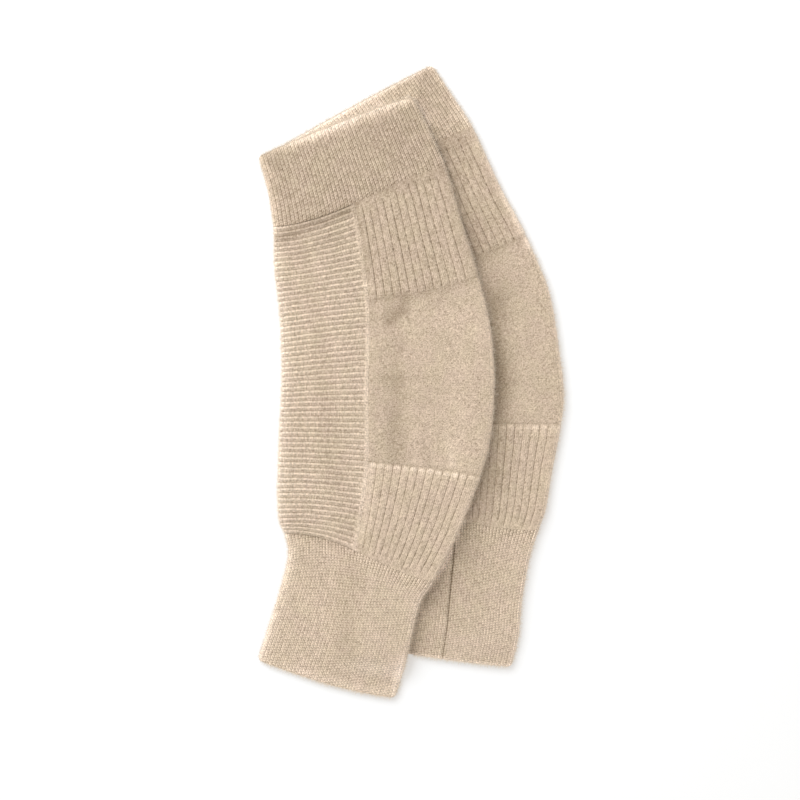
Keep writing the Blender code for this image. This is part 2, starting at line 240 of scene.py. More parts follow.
def across(warmer, along, place, out=0.0):  # mm from the back fold's edge, the width and where the seam is
    radius = foldRadii(warmer, along)
    row = rowsAt(warmer["rows"], along)
    width = np.hypot(row[:, 3] - row[:, 1], row[:, 4] - row[:, 2])[:, None]
    side, t = np.floor(place) % 6, place % 1
    splitAt = radius + (width - 2 * radius) * row[:, 7][:, None]
    behind, ahead = splitAt - radius, width - radius - splitAt
    bulge = (radius + out) * np.sin(np.pi * t)
    distances = [
        radius + behind * t,
        splitAt + ahead * t,
        width - radius + bulge,
        width - radius - ahead * t,
        splitAt - behind * t,
    ]
    return np.select([side == k for k in range(5)], distances, radius - bulge), width, splitAt


def layOut(warmer, along, place, out):
    # The points of a warmer's wall, out from its plain outer face: one row for each distance down the warmer
    radius = foldRadii(warmer, along)
    middle = tube["midHeight"] * (1 - tube["hemFlat"]["middle"] * nearHem(warmer, along))
    distance, width, _ = across(warmer, along, place, out)
    side, t = np.floor(place) % 6, place % 1
    row = rowsAt(warmer["rows"], along)
    backX, backY, frontX, frontY, backBow, frontBow = (row[:, k][:, None] for k in range(1, 7))
    ux, uy = (frontX - backX) / width, (frontY - backY) / width
    f = distance / width
    bow = 4 * f * (1 - f) * (backBow * (1 - f) + frontBow * f)
    fromCorner = np.clip(1 - np.minimum(distance, width - distance) / tube["hemCorner"], 0, 1)
    corner = tube["hemCorner"] * (1 - np.sqrt(1 - fromCorner**2))
    atFirst, atLast = hemShares(warmer, along, tube["hemReach"])
    bow = bow - corner * (atFirst - atLast)
    x, y = backX + ux * distance - uy * bow, backY + uy * distance + ux * bow
    inward = np.minimum(distance, width - distance) - radius
    upper = middle + (2 * radius - middle) * (1 - smooth(inward / tube["puffReach"]))
    fromKnee = along[:, None] - warmer["rows"][kneeMiddle, 0]
    fullness = np.exp(-((fromKnee / tube["bellyReach"]) ** 2)) * smooth(inward / tube["bellyReach"])
    upper = upper + warmer["belly"] * fullness * np.where(side == 1, 1.0, t)
    upper = upper - strokeSum(warmer["creases"], x, y) * smooth(inward / tube["puffReach"]) + out
    turn = np.where(side == 2, t, 1 - t) * np.pi
    bent = radius + (radius + out) * np.cos(turn)
    z = np.select([side < 2, (side == 3) | (side == 4)], [upper, -out], bent)
    if warmer["lapped"]:
        climb, fall = lapShares(x, y)
        z = z + tube["lapHeight"] * climb * fall * (1 - tube["hemFlat"]["lap"] * nearHem(warmer, along))
    return x, y, z


def sideDistances(warmer, along, place):  # mm from the side seam and from the front fold, on the upper side
    distance, width, splitAt = across(warmer, along, place)
    above = np.floor(place) % 6 < 2
    fromSeam = np.where(above, np.abs(distance - splitAt), tube["farAway"])
    return fromSeam, np.where(above, width - tube["foldRadius"] - distance, 0.0)


def besideSeamOf(fromSeam):  # 1 at the side seam, 0 past the smooth wales beside it
    return np.exp(-((fromSeam / tube["seamReach"]) ** 2))


# Each knit pattern gives the height of the cloth and how light it looks, with painted shade in its hollows
# and painted highlights on some raised edges, on a grid of along and place. Heights and reaches are in mm,
# and tones are shares of the yarn's own lightness.

fineRib = {
    "ribs": 44,  # across one side
    "groove": -0.3,
    "crest": 0.34,
    "roundness": 2.2,
    "grooveTone": 0.26,  # painted shade in a groove: how much darker it is
    "stitch": 1.9,  # mm from stitch to stitch down a rib
    "stitchHeight": 0.07,
    "stagger": 0.37,  # how much further down each rib's stitches lie than the last one's
    "legSlant": 0.4,  # how far a stitch's legs slant, in stitches
    "grooveSharpness": 2.4,
    "pointsPerRib": 6,
    "step": 0.6,
    "foldWales": 3.25,
    "tone": {"band": 0.9, "cuff": 1.14},
}
bandEdge = {
    "bound": 2.4,  # the smooth edge at the hem
    "lip": 0.3,  # how high the lower edge stands over the ridged panel
    "lipReach": 5.0,
    # painted shade along the band's lower edge, below its lip
    "dark": 0.2,
    "darkReach": 0.9,
}
cuffEdge = {
    "depth": 0.45,  # a cuff's ribs ease out to this share
    "depthReach": 14.0,
    "sunk": 0.25,  # how far the upper edge lies under the ridged panel
    "sunkReach": 6.0,
    # painted shade where the cuff's edge sinks under the ridged panel
    "sunkTone": 0.1,
    "dark": 0.18,
    "darkReach": 1.0,
}
cuffSeam = {
    "half": 0.65,
    "depth": 0.5,
    # painted shade along the seam's trough
    "dark": 0.72,
    "fade": 0.3,  # it is paler towards the hem
    "fadeReach": 70.0,
}


def fineRelief(piece, along, place, x, y):
    warmer, kind = piece["warmer"], piece["kind"]
    behind = round(fineRib["ribs"] * warmer["rows"][bandEnd, 7])
    ahead, fold = fineRib["ribs"] - behind, fineRib["foldWales"]
    onceRound = [fold, behind, ahead, fold, ahead, behind]
    wale = np.interp(place, range(-1, 11), np.cumsum([-fold] + onceRound + onceRound[:5])) + np.zeros_like(x)
    legs = 1 - np.abs(2 * (wale % 1) - 1)  # 0 in a groove, 1 on the middle of a rib
    ribbed = 1 - (1 - legs) ** fineRib["roundness"]
    ribbed = fineRib["groove"] + (fineRib["crest"] - fineRib["groove"]) * ribbed
    courses = along[:, None] / fineRib["stitch"] + fineRib["stagger"] * np.floor(wale)
    stitch = np.cos(2 * np.pi * (courses + fineRib["legSlant"] * legs)) * np.sqrt(legs)
    fromFirst, fromLast = along[:, None] - piece["first"], piece["last"] - along[:, None]
    onPanel = smooth((1.02 - place % 6) / 0.05)  # 1 beside the ridged panel
    if kind == "band":
        fromHem, bound = fromFirst, smooth(1.5 - fromFirst / bandEdge["bound"])
        deep = 1 - bound
        raised = bandEdge["lip"] * onPanel * smooth(1 - fromLast / bandEdge["lipReach"])
        # painted shade below the band's lip
        dark = bandEdge["dark"] * onPanel * smooth(1 - fromLast / bandEdge["darkReach"])
        atSeam = warmer["bandTone"] * (1 - dark)
    else:
        fromHem, bound = fromLast, 0.0
        deep = cuffEdge["depth"] + (1 - cuffEdge["depth"]) * smooth(1 - fromFirst / cuffEdge["depthReach"])
        sunk = smooth(1 - fromFirst / cuffEdge["sunkReach"]) * onPanel
        raised = -cuffEdge["sunk"] * sunk
        # painted shade where the cuff sinks under the ridged panel
        dark = cuffEdge["dark"] * onPanel * smooth(1 - fromFirst / cuffEdge["darkReach"])
        atSeam = 1 - cuffEdge["sunkTone"] * sunk - dark
    height = ribbed * deep + fineRib["stitchHeight"] * stitch * (1 - bound) + raised
    # painted shade in the grooves
    light = 1 - fineRib["grooveTone"] * deep * smooth(1 - legs * fineRib["grooveSharpness"])
    light = light * fineRib["tone"][kind] * atSeam
    # painted highlight along the hem, where the rolled edge catches light
    hemTone = shades["hemTone"][kind][warmer["lapped"]]
    if warmer["lapped"]:
        fromBack, width, _ = across(warmer, along, place)
        backFade, frontFade = shades["hemToneFades"]
        hemTone = hemTone * smooth((fromBack - 1) / backFade) * smooth((width - fromBack) / frontFade)
    light = light * (1 + hemTone * np.exp(-((fromHem / shades["hemToneReach"][warmer["lapped"]]) ** 2.6)))
    if warmer["seamAbove"] and kind == "cuff":
        fromSeam, _ = sideDistances(warmer, along, place)
        seam = np.exp(-((fromSeam / cuffSeam["half"]) ** 2))
        height = height * (1 - seam) - cuffSeam["depth"] * seam
        # painted shade along the seam's trough
        dark = cuffSeam["dark"] - cuffSeam["fade"] * smooth(1 - fromLast / cuffSeam["fadeReach"])
        light = light * (1 - dark * seam)
    return height, light, wale, courses


wideRib = {
    "ribs": 13,  # from the side seam to the front fold
    "groove": {"thigh_rib": -0.55, "calf_rib": -0.35},
    # painted shade in the grooves: how much darker they are
    "grooveTone": {"thigh_rib": 0.42, "calf_rib": 0.32},
    "grooveHalf": 0.42,
    "crest": 0.42,
    "grooveStagger": 0.38,  # how the ends of grooves and of ribs alternate
    "ribStagger": 0.43,
    "pointsPerRib": 12,
    "step": 0.9,
    "foldWales": 1.7,
    "course": 2.1,
    "wobble": 0.05,  # how far the grooves wander, in ribs
    "wobbleSize": 9.0,
    "kneeLightReach": 14.0,
    "farShadeReach": 4.0,
    "tone": {"thigh_rib": 0.89, "calf_rib": 1.01},
}
# How ribs and grooves stop beside the knee and at the far end: how far from the seam, how much that staggers
# and how softly they stop
ribEnds = {
    "thigh_rib": {
        "round": 1.8,  # how much further a rib's middle reaches than its sides
        "rib": (0.6, 1.4, 0.9),
        "kneeGroove": (0.2, 1.6, 0.8),
        "farGroove": (1.5, 6.0, 1.2),
        "bright": (0.05, 0.05),  # painted highlight on the rib's end, on the under and the top warmer
        "dark": 0.1,  # painted shade past the rib's end
        "toneFrom": 1.5,
        "toneReach": 3.0,
        "offGroove": 0.0,
        "kneeLight": 0.0,
        "farShade": 0.1,
    },
    "calf_rib": {
        "round": 1.6,
        "rib": (0.2, 1.1, 1.0),
        "kneeGroove": (0.1, 1.0, 0.6),
        "farGroove": (0.5, 3.0, 3.0),
        "bright": (0.18, 0.27),
        "dark": 0.12,
        "toneFrom": 1.25,
        "toneReach": 3.8,
        "offGroove": 1.0,
        "kneeLight": 0.07,
        "farShade": 0.0,
    },
}


def easeIn(distance, stagger, start, spread, soft):
    return smooth((distance - start - spread * stagger) / soft)


def wideRelief(piece, along, place, x, y):
    warmer, kind = piece["warmer"], piece["kind"]
    ends, count = ribEnds[kind], wideRib["ribs"]
    pastFold = count + wideRib["foldWales"]
    ribs = np.interp(place, [1, 2, 3, 4], [0, count, pastFold, pastFold + count]) + np.zeros_like(x)
    row = rowsAt(warmer["rows"], along)
    width = np.hypot(row[:, 3] - row[:, 1], row[:, 4] - row[:, 2])
    pitch = ((width - 2 * tube["foldRadius"]) * (1 - row[:, 7]) / count)[:, None]
    wobble = wideRib["wobble"] * softNoise(x, y, wideRib["wobbleSize"], 3)
    number = np.round(ribs)
    off = np.abs(ribs + wobble * smooth(place - 1) - number) * pitch
    fromKnee, fromFar = along[:, None] - piece["first"], piece["last"] - along[:, None]
    if kind == "thigh_rib":
        fromKnee, fromFar = fromFar, fromKnee
    broken = np.clip(0.72 + 0.5 * softNoise(number * 7.3, along[:, None], 1.5, 5), 0.25, 1.2)
    strength = np.where((number < 0.5) | (number > count - 0.5), 0.0, 1.0) * broken
    stagger = (number * wideRib["grooveStagger"]) % 1
    ribStagger = (np.floor(ribs) * wideRib["ribStagger"]) % 1
    fromMiddle = 2 * np.abs(ribs - np.floor(ribs) - 0.5)  # 0 on the middle of a rib, 1 in its grooves
    ribEnd = easeIn(fromKnee - ends["round"] * fromMiddle**2.5, ribStagger, *ends["rib"])
    strength = strength * easeIn(fromFar, stagger, *ends["farGroove"])
    strength = strength * easeIn(fromKnee, stagger, *ends["kneeGroove"])
    groove = strength * np.exp(-((off / wideRib["grooveHalf"]) ** 2))
    crown = wideRib["crest"] * (1 - 0.25 * fromMiddle**2) * ribEnd
    fromSeam, _ = sideDistances(warmer, along, place)
    besideSeam = besideSeamOf(fromSeam)
    height = crown - (crown - wideRib["groove"][kind]) * groove
    height = height * (1 - besideSeam) + tube["seamHeight"] * besideSeam
    # painted shade in the grooves, painted highlight on the ribs' ends and painted shade just past them
    light = wideRib["tone"][kind] * (1 - wideRib["grooveTone"][kind] * groove)
    atEnd = ends["bright"][warmer["lapped"]] * ribEnd - ends["dark"] * (1 - ribEnd)
    atEnd = atEnd * smooth(ends["toneFrom"] - fromKnee / ends["toneReach"]) * (1 - ends["offGroove"] * groove)
    kneeLight = ends["kneeLight"] * smooth(1 - fromKnee / wideRib["kneeLightReach"])
    farShade = ends["farShade"] * smooth(1 - fromFar / wideRib["farShadeReach"])
    light = light * (1 + atEnd) * (1 + kneeLight) * (1 - farShade)
    return height, light, ribs * 2, along[:, None] / wideRib["course"] + 0 * x


plainKnit = {
    "width": 85.0,  # roughly, from the side seam to the front fold
    "step": 0.85,
    "wale": 1.9,
    "course": 1.5,
    "uneven": (0.1, 0.12),  # height of its small and its large bumps
    "endDip": 0.15,
    "tone": 0.95,
    "topShade": 0.14,
    "endShade": 0.08,
    "frontLight": 0.03,
    "frontLightReach": 9.0,
}


def plainRelief(piece, along, place, x, y):
    fromFirst, fromLast = along[:, None] - piece["first"], piece["last"] - along[:, None]
    small, large = plainKnit["uneven"]
    height = small * softNoise(x, y, 5.0, 11) + large * softNoise(x, y, 14.0, 12)
    height = height * smooth(np.minimum(fromFirst, fromLast) / 3.0)
    height = height - plainKnit["endDip"] * smooth(1 - fromLast / 2.0)
    fromSeam, fromFront = sideDistances(piece["warmer"], along, place)
    besideSeam = besideSeamOf(fromSeam)
    height = height * (1 - besideSeam) + tube["seamHeight"] * besideSeam
    # painted shade below the thigh ribs and at the lower edge, painted light towards the front fold
    light = 1 - plainKnit["topShade"] * smooth(1 - fromFirst / 6.0)
    light = (light - plainKnit["endShade"] * smooth(1 - fromLast / 2.0)) * plainKnit["tone"]
    light = light * (1 + plainKnit["frontLight"] * smooth(1 - fromFront / plainKnit["frontLightReach"]))
    return height, light, fromSeam / plainKnit["wale"], along[:, None] / plainKnit["course"] + 0 * x


ridgedKnit = {
    "ridges": 62,
    "groove": -0.42,
    "crest": 0.42,
    "pointsPerRidge": 6,
    "width": 62.0,  # roughly, from the back fold to the side seam
    "step": 1.1,
    "border": 3.6,  # the smooth column beside the seam
    "borderCrest": 0.1,
    "wale": 2.0,
    "tone": 1.11,
    # painted shade in the grooves, painted highlight on each ridge's upper side and painted shade down its
    # slope; the smooth column is lighter
    "grooveTone": 0.36,
    "ridgeTone": 0.13,
    "slopeTone": 0.05,
    "borderTone": 0.04,
}


def ridgedRelief(piece, along, place, x, y):
    first, last = piece["first"], piece["last"]
    phase = ((along - first) / (last - first) * ridgedKnit["ridges"])[:, None]
    phase = phase + 0.035 * softNoise(x, y, 7.0, 21)
    f = phase % 1
    roll = np.sin(np.pi * f**0.8) ** 0.6
    ridge = ridgedKnit["groove"] + (ridgedKnit["crest"] - ridgedKnit["groove"]) * roll
    fromSeam, _ = sideDistances(piece["warmer"], along, place)
    wrapped = smooth((place - 5.0 - 0.15) / 0.35)  # the ridges fade out under the back fold
    onBorder = smooth((ridgedKnit["border"] + 0.5 * np.sin(np.pi * f) - fromSeam) / 1.2)
    column = np.sin(np.pi * np.clip(fromSeam / ridgedKnit["border"], 0, 1))
    column = tube["seamHeight"] + ridgedKnit["borderCrest"] * column
    height = (ridge * (1 - onBorder) + column * onBorder) * wrapped
    # painted shade in each groove and painted highlight on each ridge's upper side
    dark = np.exp(-((np.minimum(f, 1 - f) / 0.11) ** 2)) * (1 - onBorder)
    bright = np.exp(-(((f - 0.24) / 0.12) ** 2)) * (1 - onBorder)
    light = 1 - ridgedKnit["grooveTone"] * dark + ridgedKnit["ridgeTone"] * bright
    light = light - ridgedKnit["slopeTone"] * f * (1 - onBorder) + ridgedKnit["borderTone"] * onBorder
    return height, ridgedKnit["tone"] * light, fromSeam / ridgedKnit["wale"], phase * 2


# Light and shade by where the wool lies. A pair of numbers is for the under and the top warmer, unless its
# note says otherwise.
shades = {
    "edgeTone": (0.75, 0.39),  # painted highlight along the open fold, where the raised wool catches the light
    "edgeReach": (1.5, 4.6),
    # painted highlight along the hems, where the rolled edge catches the light
    "hemTone": {"band": (0.5, 0.74), "cuff": (0.35, 0.15)},
    "hemToneReach": (1.8, 5.6),
    "hemToneFades": (28, 10),  # mm, towards the top warmer's back fold and its front fold
    "rimTone": 0.16,  # the edge of the top warmer's front fold
    "rimReach": 3.0,
    "climbShade": 0.13,  # the climb would catch too much light
    "fallLight": 1.6,  # times as much lighter where the climb ends down the warmer
    "besideFold": 0.15,  # how much darker it is where it nestles against the top warmer
    "besideReach": 15.0,
    "besideKnee": 0.36,  # and beside its knee
    "kneeShadeAt": 5.5,
    "kneeShade": 6.5,
    "kneeY": 6.0,
    "kneeReach": 42.0,
    "contact": 0.45,  # painted light that lifts the shade in the narrow gap right at its fold, as fibres let light in there
    "contactReach": 4.0,
    "contactShares": (0.6, 2.2),  # of it all along, and how much more in the notch where the cuffs begin
    "notchY": -130,
    "notchReach": 28,
}


def shadesOf(piece, along, place, x, y):
    warmer = piece["warmer"]
    above = smooth((2.8 - ((place + 1) % 6 - 1)) / 0.7)  # the shades end on the front fold
    # painted shade and painted light from the strokes
    light = 1 + strokeSum(warmer["strokes"], x, y) * above
    distance, width, _ = across(warmer, along, place)
    fromOpenFold = np.maximum(distance if warmer["lapped"] else width - distance, 0)
    # painted highlight along the open fold
    edgeTone, edgeReach = (shades[key][warmer["lapped"]] for key in ("edgeTone", "edgeReach"))
    light = light * (1 + edgeTone * np.exp(-((fromOpenFold / edgeReach) ** 1.4)))
    if warmer["lapped"]:
        # painted light on the underside of the front fold and a painted highlight along its edge
        under = np.clip(place % 6 - 2, 0, 1) * (np.floor(place) % 6 == 2)
        light = light * (1 + shades["contact"] * under)
        light = light * (1 + shades["rimTone"] * np.exp(-(((width - distance) / shades["rimReach"]) ** 2)))
        # painted shade on the climb and painted light where it ends down the warmer
        climb, fall = lapShares(x, y)
        light = light * (1 - shades["climbShade"] * 4 * climb * (1 - climb) * fall)
        return light * (1 + shades["fallLight"] * shades["climbShade"] * 4 * fall * (1 - fall) * climb)
    # painted shade beside the top warmer's fold, deeper beside its knee, with painted light right in the gap
    # at the fold
    beside = np.maximum(x - np.interp(-y, -topRows[:, 4], topRows[:, 3]), 0)
    besideKnee = np.exp(-(((y - shades["kneeY"]) / shades["kneeReach"]) ** 2))
    light = light * (1 - shades["besideFold"] * np.exp(-beside / shades["besideReach"]))
    offCore = (beside - shades["kneeShadeAt"]) / shades["kneeShade"]
    light = light * (1 - shades["besideKnee"] * besideKnee * np.exp(-(offCore**2)))
    always, inNotch = shades["contactShares"]
    notch = np.exp(-(((y - shades["notchY"]) / shades["notchReach"]) ** 2))
    contact = shades["contact"] * (always + inNotch * notch)
    return light * (1 + contact * np.exp(-((beside / shades["contactReach"]) ** 2)))


hemEdge = {
    "points": (0.12, 0.3, 0.55, 0.85),  # mm from the edge, extra rows so that it rounds over
    "rim": 1.1,
    "flatter": 0.6,  # how much of the knit's relief is gone at the edge
    "halfLeft": 0.08,  # mm, half of the wall that is left there
}


def evenly(first, last, step):
    return np.linspace(first, last, max(2, round((last - first) / step)) + 1)


def hemLevels(piece, levels):
    near = np.array(hemEdge["points"])
    if piece["kind"] == "band":
        return np.union1d(levels, levels[0] + near)
    if piece["kind"] == "cuff":
        return np.union1d(levels, levels[-1] - near)
    return levels


def rolledOver(piece, levels):  # 1 at the edge of an open hem, 0 past its rim
    if piece["kind"] not in ("band", "cuff"):
        return np.zeros((len(levels), 1))
    fromHem = levels - piece["first"] if piece["kind"] == "band" else piece["last"] - levels
    rolled = 1 - np.sqrt(1 - (1 - np.clip(fromHem / hemEdge["rim"], 0, 1)) ** 2)
    return rolled[:, None]


def placesOf(piece):
    knit, start, end = piece["knit"], piece["start"], piece["end"]
    behind = round(fineRib["ribs"] * piece["warmer"]["rows"][bandEnd, 7])
    ahead, perRib = fineRib["ribs"] - behind, fineRib["pointsPerRib"]
    counts = {  # steps on each of the tube's six sides
        "fine": (behind * perRib, ahead * perRib, 18, 8, 8, 18),
        "wide": (1, wideRib["ribs"] * wideRib["pointsPerRib"], 14, 8, 8, 8),
        "plain": (1, round(plainKnit["width"] / plainKnit["step"]), 14, 10, 8, 8),
        "ridged": (round(ridgedKnit["width"] / ridgedKnit["step"]), 1, 8, 8, 8, 14),
    }[knit]
    places = [np.array([start, end])]
    for side in range(math.floor(start), math.ceil(end)):
        places.append(np.linspace(side, side + 1, counts[side % 6] + 1))
    if knit == "ridged":  # more points across the smooth column
        places.append(7 - np.array([0.5, 1.2, 1.9, 2.6, 3.3, 4.0, 4.6, 5.3]) / ridgedKnit["width"])
    places = np.unique(np.concatenate(places))
    least = 0.0012  # closer places would make slivers
    inside = places[(places > start + least) & (places < end - least)]
    return np.concatenate([[start], inside[np.diff(inside, prepend=-9) > least / 2], [end]])


def stitchTogether(a, b):  # faces between two lines of (parameter, vertex)
    faces, i, j = [], 0, 0
    while i < len(a) - 1 or j < len(b) - 1:
        if j == len(b) - 1 or (i < len(a) - 1 and a[i + 1][0] <= b[j + 1][0]):
            faces.append((a[i][1], a[i + 1][1], b[j][1]))
            i += 1
        else:
            faces.append((a[i][1], b[j + 1][1], b[j][1]))
            j += 1
    return faces


def gridFaces(rows, columns, start, flip):
    corner = (np.arange(rows - 1)[:, None] * columns + np.arange(columns - 1)).ravel() + start
    quads = np.stack([corner, corner + 1, corner + columns + 1, corner + columns], axis=1)
    return quads[:, ::-1] if flip else quads


def placeMesh(name, points, faces):
    mesh = bpy.data.meshes.new(name)
    mesh.from_pydata((points * mm).tolist(), [], faces)
    mesh.update()
    shape = bmesh.new()
    shape.from_mesh(mesh)
    bmesh.ops.recalc_face_normals(shape, faces=shape.faces)
    shape.to_mesh(mesh)
    shape.free()
    thing = bpy.data.objects.new(name, mesh)
    bpy.context.scene.collection.objects.link(thing)
    return thing


reliefs = {"fine": fineRelief, "wide": wideRelief, "plain": plainRelief, "ridged": ridgedRelief}
steps = {"fine": fineRib["step"], "wide": wideRib["step"], "plain": plainKnit["step"]}
inner = {
    "step": 9.0,  # mm down the warmer, as the inner face is plain
    "across": 40,  # about as many steps round
    "tone": 0.9,
}


def knitPiece(name, piece):
    # A closed shell: the outer face carries the knit, the inner one is plain, and their rims are joined
    warmer, knit, first, last = piece["warmer"], piece["knit"], piece["first"], piece["last"]
    if knit == "ridged":
        along = np.linspace(first, last, ridgedKnit["ridges"] * ridgedKnit["pointsPerRidge"] + 1)
    else:
        along = hemLevels(piece, evenly(first, last, steps[knit]))
    place = placesOf(piece)
    x, y, _ = layOut(warmer, along, place, np.zeros((len(along), len(place))))
    height, light, wale, course = reliefs[knit](piece, along, place, x, y)
    light = light * shadesOf(piece, along, place, x, y)
    turned = (place + 1) % 6 - 1
    seen = smooth((turned - piece["covered"]) / 0.08)  # the hidden side is left plain
    seen = seen * smooth((3.0 - turned) / 0.5) * smooth((turned + 1) / 0.5)
    rolled, toMiddle = rolledOver(piece, along), tube["wall"] / 2 - hemEdge["halfLeft"]
    height = height * seen * (1 - hemEdge["flatter"] * rolled) - toMiddle * rolled
    outerPoints = np.stack(layOut(warmer, along, place, height), axis=2)
    inAlong = hemLevels(piece, evenly(first, last, inner["step"]))
    inPlace = np.unique(np.append(place[:: max(1, len(place) // inner["across"])], place[-1]))
    inHeight = np.full((len(inAlong), len(inPlace)), -tube["wall"]) + toMiddle * rolledOver(piece, inAlong)
    innerPoints = np.stack(layOut(warmer, inAlong, inPlace, inHeight), axis=2)

    n, m, ni, mi = len(along), len(place), len(inAlong), len(inPlace)
    outerIds = np.arange(n * m).reshape(n, m)
    innerIds = np.arange(ni * mi).reshape(ni, mi) + n * m
    faces = gridFaces(n, m, 0, True).tolist() + gridFaces(ni, mi, n * m, False).tolist()
    for end in (0, -1):
        out = list(zip(along, outerIds[:, end].tolist()))
        faces += stitchTogether(out, list(zip(inAlong, innerIds[:, end].tolist())))
        out = list(zip(place, outerIds[end].tolist()))
        faces += stitchTogether(out, list(zip(inPlace, innerIds[end].tolist())))
    thing = placeMesh(name, np.concatenate([outerPoints.reshape(-1, 3), innerPoints.reshape(-1, 3)]), faces)
    mesh = thing.data

    knitMap = mesh.uv_layers.new(name="knitMap")
    flat = np.concatenate([
        np.stack([wale + 0 * x, course + 0 * x], axis=2).reshape(-1, 2),
        np.stack(np.broadcast_arrays(inPlace[None, :] * 30, inAlong[:, None] / 3), axis=2).reshape(-1, 2),
    ])
    corners = np.zeros(len(mesh.loops), dtype=np.int32)
    mesh.loops.foreach_get("vertex_index", corners)
    knitMap.data.foreach_set("uv", flat[corners].astype(np.float32).ravel())
    # the tone attribute carries the painted shade and highlights of the knit and of where the wool lies
    tone = mesh.attributes.new("tone", "FLOAT", "POINT")
    tones = np.concatenate([(light + 0 * x).ravel(), np.full(ni * mi, inner["tone"])])
    tone.data.foreach_set("value", tones.astype(np.float32))

    mesh.polygons.foreach_set("use_smooth", [True] * len(mesh.polygons))
    rims = np.zeros(len(mesh.vertices), dtype=np.int32)  # 1, 2: the rims along the piece; 4, 8: across it
    for ids in (outerIds, innerIds):
        rims[ids[:, 0]] |= 1
        rims[ids[:, -1]] |= 2
        rims[ids[0]] |= 4
        rims[ids[-1]] |= 8
    ends = np.zeros(len(mesh.edges) * 2, dtype=np.int32)
    mesh.edges.foreach_get("vertices", ends)
    ends = ends.reshape(-1, 2)
    sameShell = (ends[:, 0] < n * m) == (ends[:, 1] < n * m)
    sharp = sameShell & ((rims[ends[:, 0]] & rims[ends[:, 1]]) > 0)
    mesh.attributes.new("sharp_edge", "BOOLEAN", "EDGE").data.foreach_set("value", sharp)
    return thing


nap = {
    "thickness": 0.1,  # mm, drawn thicker than a real fibre of 0.03 mm, which is too thin to show
    "perSquare": 0.45,  # fibres on each square mm that shows
    "length": (0.6, 1.7),
    "brushed": math.radians(28),  # the way they lie, off the table's X
    "spread": 1.1,  # radians that they stray from it
    "lift": (0.2, 0.6),
    "perEdge": 18.0,  # fibres on each mm of a fold or hem
    "hiddenShare": 0.2,  # of them at the back fold that the top warmer covers
    "edgeLength": (0.9, 4.6),
    "loose": 0.45,  # how much those on folds and hems point anyhow
    "root": 0.1,
    "lowest": 0.1,
}


def rootsOf(piece, draw):
    # Where the fibres of a piece stand: distance down the warmer, place round it, and the kind of spot
    warmer, first, last = piece["warmer"], piece["first"], piece["last"]
    start, end = piece["start"], piece["end"]
    spots = []
    row = rowsAt(warmer["rows"], np.array([(first + last) / 2]))[0]
    width = math.hypot(row[3] - row[1], row[4] - row[2])
    for side in range(math.floor(start), math.ceil(end)):
        seenFrom = max(piece["covered"] - side % 6, 0.0)
        if side % 6 in (0, 1) and seenFrom < 1:
            share = row[7] if side % 6 == 0 else 1 - row[7]
            count = round(nap["perSquare"] * (last - first) * width * share * (1 - seenFrom))
            down = draw.uniform(first, last, count)
            spots.append((down, side + draw.uniform(seenFrom, 0.999, count), "flat"))
            if piece["kind"] in ("band", "cuff"):
                count = round(nap["perEdge"] * width * share * (1 - seenFrom))
                hem = first if piece["kind"] == "band" else last
                spots.append((np.full(count, hem), side + draw.uniform(seenFrom, 0.999, count), "hem"))
        if side % 6 in (2, 5):
            hidden = side % 6 == 5 and not warmer["lapped"]
            count = round(nap["perEdge"] * (last - first) * (nap["hiddenShare"] if hidden else 1.0))
            spots.append((draw.uniform(first, last, count), side + draw.uniform(0.1, 0.8, count), "fold"))
    return spots


def onWall(warmer, along, place, out):
    return np.concatenate(layOut(warmer, along, place, np.full(place.shape, out)), axis=1)


def napOf(name, piece, seed):
    # Raised fibres, each a thin spike of four triangles: lying on the flat, standing out at folds and hems
    draw = np.random.default_rng(seed)
    warmer = piece["warmer"]
    roots, ways, lengths = [], [], []
    for along, place, spot in rootsOf(piece, draw):
        count, place = len(along), place[:, None]
        at = onWall(warmer, along, place, nap["root"])
        way = onWall(warmer, along, place, nap["root"] + 1) - at
        loose = draw.normal(0, 1, (count, 3))
        if spot == "flat":
            turn = nap["brushed"] + draw.normal(0, nap["spread"], count) + np.pi * draw.integers(0, 2, count)
            lying = np.stack([np.cos(turn), np.sin(turn), np.zeros(count)], axis=1)
            way = lying + way * draw.uniform(*nap["lift"], count)[:, None]
            low, high = nap["length"]
        else:
            if spot == "hem":
                step = -1.0 if piece["kind"] == "band" else 1.0
                beyond = onWall(warmer, along + step, place, nap["root"])
                way = (beyond - at) + way * draw.uniform(-0.2, 0.7, count)[:, None]
                at = at - way * 0.3
            way = way + nap["loose"] * loose
            low, high = nap["edgeLength"]
        roots.append(at)
        ways.append(way / np.linalg.norm(way, axis=1)[:, None])
        lengths.append(low + (high - low) * draw.uniform(0, 1, count) ** 2.2)
    root, way, length = np.concatenate(roots), np.concatenate(ways), np.concatenate(lengths)[:, None]
    aside = np.cross(way, [0.0, 0.0, 1.0]) + 1e-6
    aside = aside / np.linalg.norm(aside, axis=1)[:, None] * nap["thickness"] / 2
    upright = np.cross(aside, way)
    corners = np.stack([root + aside, root - aside, root + upright, root + way * length], axis=1)
    corners[..., 2] = np.maximum(corners[..., 2], nap["lowest"] + 0.03 * np.array([0, 0, 1, 0.5]))
    base = 4 * np.arange(len(root))[:, None]
    faces = np.concatenate([base + corner for corner in ((0, 1, 2), (0, 3, 1), (1, 3, 2), (2, 3, 0))])
    return placeMesh(name, corners.reshape(-1, 3), faces.tolist())


def colour(code):  # an sRGB hex value turned linear
    parts = [int(code[i : i + 2], 16) / 255 for i in (1, 3, 5)]
    return (*[c / 12.92 if c <= 0.04045 else ((c + 0.055) / 1.055) ** 2.4 for c in parts], 1.0)


